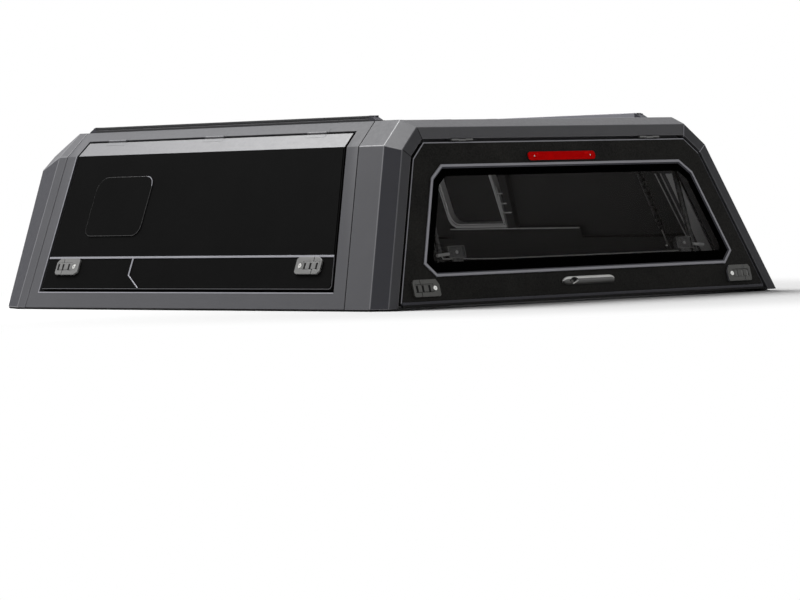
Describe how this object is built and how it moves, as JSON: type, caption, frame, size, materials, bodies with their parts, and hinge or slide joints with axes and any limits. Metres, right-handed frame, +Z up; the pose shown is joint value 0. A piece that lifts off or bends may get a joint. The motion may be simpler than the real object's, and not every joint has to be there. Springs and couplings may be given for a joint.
{
  "type": "pickup truck canopy",
  "caption": "Metal canopy for a pickup bed, with a top-hinged door on each side and a glazed top-hinged rear hatch held by gas struts.",
  "frame": {"origin": "centre of the canopy's box on the plane of the truck's rails", "axes": "+X to the right seen from behind, +Y forward towards the cab, +Z up"},
  "size_m": [1.724, 1.8794, 0.572],
  "materials": {
    "frame_paint": "fine textured powder coat, satin dark grey",
    "panel_paint": "fine textured powder coat, matte black",
    "hatch_paint": "coarse textured coat, matte black",
    "light_trim": "satin light grey",
    "lock_metal": "satin grey cast zinc",
    "dark_metal": "satin dark grey cast zinc",
    "hinge_steel": "satin",
    "strut_paint": "semi-gloss black",
    "rod_chrome": "polished",
    "rubber": "matte",
    "tinted_glass": "dark tint",
    "clear_glass": "light tint",
    "red_lens": "gloss red lens"
  },
  "bodies": {
    "canopy_frame": {"rear_top_beam": "frame_paint", "front_top_beam": "frame_paint", "rail_seal": "rubber", "front_wall": "frame_paint", "front_window_glass": "clear_glass", "front_window_seal": "rubber", "roof_panel": "frame_paint", "roof_bows": "frame_paint", "beam_hinges": "hinge_steel", "beam_brackets": "hinge_steel", "right_rear_post": "frame_paint", "left_rear_post": "frame_paint", "right_front_post": "frame_paint", "left_front_post": "frame_paint", "right_side_frame": "frame_paint", "left_side_frame": "frame_paint", "right_roof_rail": "frame_paint", "left_roof_rail": "frame_paint", "right_header_hinges": "hinge_steel", "left_header_hinges": "hinge_steel", "right_header_brackets": "hinge_steel", "left_header_brackets": "hinge_steel"},
    "right_door": {"right_door_frame": "frame_paint", "right_door_panel": "panel_paint", "right_door_trim": "light_trim", "right_cover_plate": "panel_paint", "right_lock_plates": "lock_metal", "right_door_hinges": "hinge_steel", "right_door_brackets": "hinge_steel"},
    "left_door": {"left_door_frame": "frame_paint", "left_door_panel": "panel_paint", "left_door_trim": "light_trim", "left_cover_plate": "panel_paint", "left_lock_plates": "lock_metal", "left_door_hinges": "hinge_steel", "left_door_brackets": "hinge_steel"},
    "rear_hatch": {"hatch_panel": "hatch_paint", "hatch_frame": "light_trim", "hatch_glass": "tinted_glass", "window_surround": "light_trim", "brake_light": "red_lens", "hatch_handle": "light_trim", "hatch_lock_plates": "dark_metal", "hatch_hinges": "hinge_steel", "hatch_brackets": "hinge_steel"},
    "right_strut_tubes": {"right_strut_tubes": "strut_paint"},
    "right_strut_rods": {"right_strut_rods": "rod_chrome"},
    "right_door_front_paddle": {"right_door_front_paddle": "lock_metal"},
    "right_door_rear_paddle": {"right_door_rear_paddle": "lock_metal"},
    "left_strut_tubes": {"left_strut_tubes": "strut_paint"},
    "left_strut_rods": {"left_strut_rods": "rod_chrome"},
    "left_door_front_paddle": {"left_door_front_paddle": "lock_metal"},
    "left_door_rear_paddle": {"left_door_rear_paddle": "lock_metal"},
    "hatch_strut_tubes": {"hatch_strut_tubes": "strut_paint"},
    "hatch_strut_rods": {"hatch_strut_rods": "rod_chrome"},
    "hatch_left_paddle": {"hatch_left_paddle": "dark_metal"},
    "hatch_right_paddle": {"hatch_right_paddle": "dark_metal"}
  },
  "joints": [
    {"name": "right_door_hinge", "type": "hinge", "parent": "canopy_frame", "child": "right_door", "pos_m": [0.62578, 0, 0.52777], "axis": [0, -1, 0], "range_deg": [0, 75]},
    {"name": "right_door_hinge_strut_swing", "type": "hinge", "parent": "canopy_frame", "child": "right_strut_tubes", "pos_m": [0.59159, 0.06025, 0.45767], "axis": [0, -1, 0], "range_deg": [0, 74.94]},
    {"name": "right_door_hinge_strut_slide", "type": "slide", "parent": "right_strut_tubes", "child": "right_strut_rods", "axis": [0.4868, 0, -0.8735], "range_m": [0, 0.0959]},
    {"name": "left_door_hinge", "type": "hinge", "parent": "canopy_frame", "child": "left_door", "pos_m": [-0.62578, 0, 0.52777], "axis": [0, 1, 0], "range_deg": [0, 75]},
    {"name": "left_door_hinge_strut_swing", "type": "hinge", "parent": "canopy_frame", "child": "left_strut_tubes", "pos_m": [-0.59159, 0.06025, 0.45767], "axis": [0, 1, 0], "range_deg": [0, 74.94]},
    {"name": "left_door_hinge_strut_slide", "type": "slide", "parent": "left_strut_tubes", "child": "left_strut_rods", "axis": [-0.4868, 0, -0.8735], "range_m": [0, 0.0959]},
    {"name": "hatch_hinge", "type": "hinge", "parent": "canopy_frame", "child": "rear_hatch", "pos_m": [0, -0.81616, 0.4935], "axis": [-1, 0, 0], "range_deg": [0, 80]},
    {"name": "hatch_hinge_strut_swing", "type": "hinge", "parent": "canopy_frame", "child": "hatch_strut_tubes", "pos_m": [0, -0.76888, 0.43146], "axis": [-1, 0, 0], "range_deg": [0, 79.65]},
    {"name": "hatch_hinge_strut_slide", "type": "slide", "parent": "hatch_strut_tubes", "child": "hatch_strut_rods", "axis": [0, -0.2902, -0.957], "range_m": [0, 0.1011]},
    {"name": "right_door_front_paddle_hinge", "type": "hinge", "parent": "right_door", "child": "right_door_front_paddle", "pos_m": [0.81171, 0.56505, 0.14186], "axis": [0, -1, 0], "range_deg": [0, 35]},
    {"name": "right_door_rear_paddle_hinge", "type": "hinge", "parent": "right_door", "child": "right_door_rear_paddle", "pos_m": [0.81171, -0.57433, 0.14186], "axis": [0, -1, 0], "range_deg": [0, 35]},
    {"name": "left_door_front_paddle_hinge", "type": "hinge", "parent": "left_door", "child": "left_door_front_paddle", "pos_m": [-0.81171, 0.56505, 0.14186], "axis": [0, 1, 0], "range_deg": [0, 35]},
    {"name": "left_door_rear_paddle_hinge", "type": "hinge", "parent": "left_door", "child": "left_door_rear_paddle", "pos_m": [-0.81171, -0.57433, 0.14186], "axis": [0, 1, 0], "range_deg": [0, 35]},
    {"name": "hatch_left_paddle_hinge", "type": "hinge", "parent": "rear_hatch", "child": "hatch_left_paddle", "pos_m": [-0.6755, -0.9265, 0.0708], "axis": [-1, 0, 0], "range_deg": [0, 35]},
    {"name": "hatch_right_paddle_hinge", "type": "hinge", "parent": "rear_hatch", "child": "hatch_right_paddle", "pos_m": [0.6755, -0.9265, 0.0708], "axis": [-1, 0, 0], "range_deg": [0, 35]}
  ],
  "couplings": [
    {"joint": "right_door_hinge_strut_swing", "follows": "right_door_hinge", "ratio": 0.99257},
    {"joint": "right_door_hinge_strut_slide", "follows": "right_door_hinge", "m_per_rad": 0.072489},
    {"joint": "left_door_hinge_strut_swing", "follows": "left_door_hinge", "ratio": 0.99257},
    {"joint": "left_door_hinge_strut_slide", "follows": "left_door_hinge", "m_per_rad": 0.072489},
    {"joint": "hatch_hinge_strut_swing", "follows": "hatch_hinge", "ratio": 0.9894},
    {"joint": "hatch_hinge_strut_slide", "follows": "hatch_hinge", "m_per_rad": 0.071664}
  ]
}
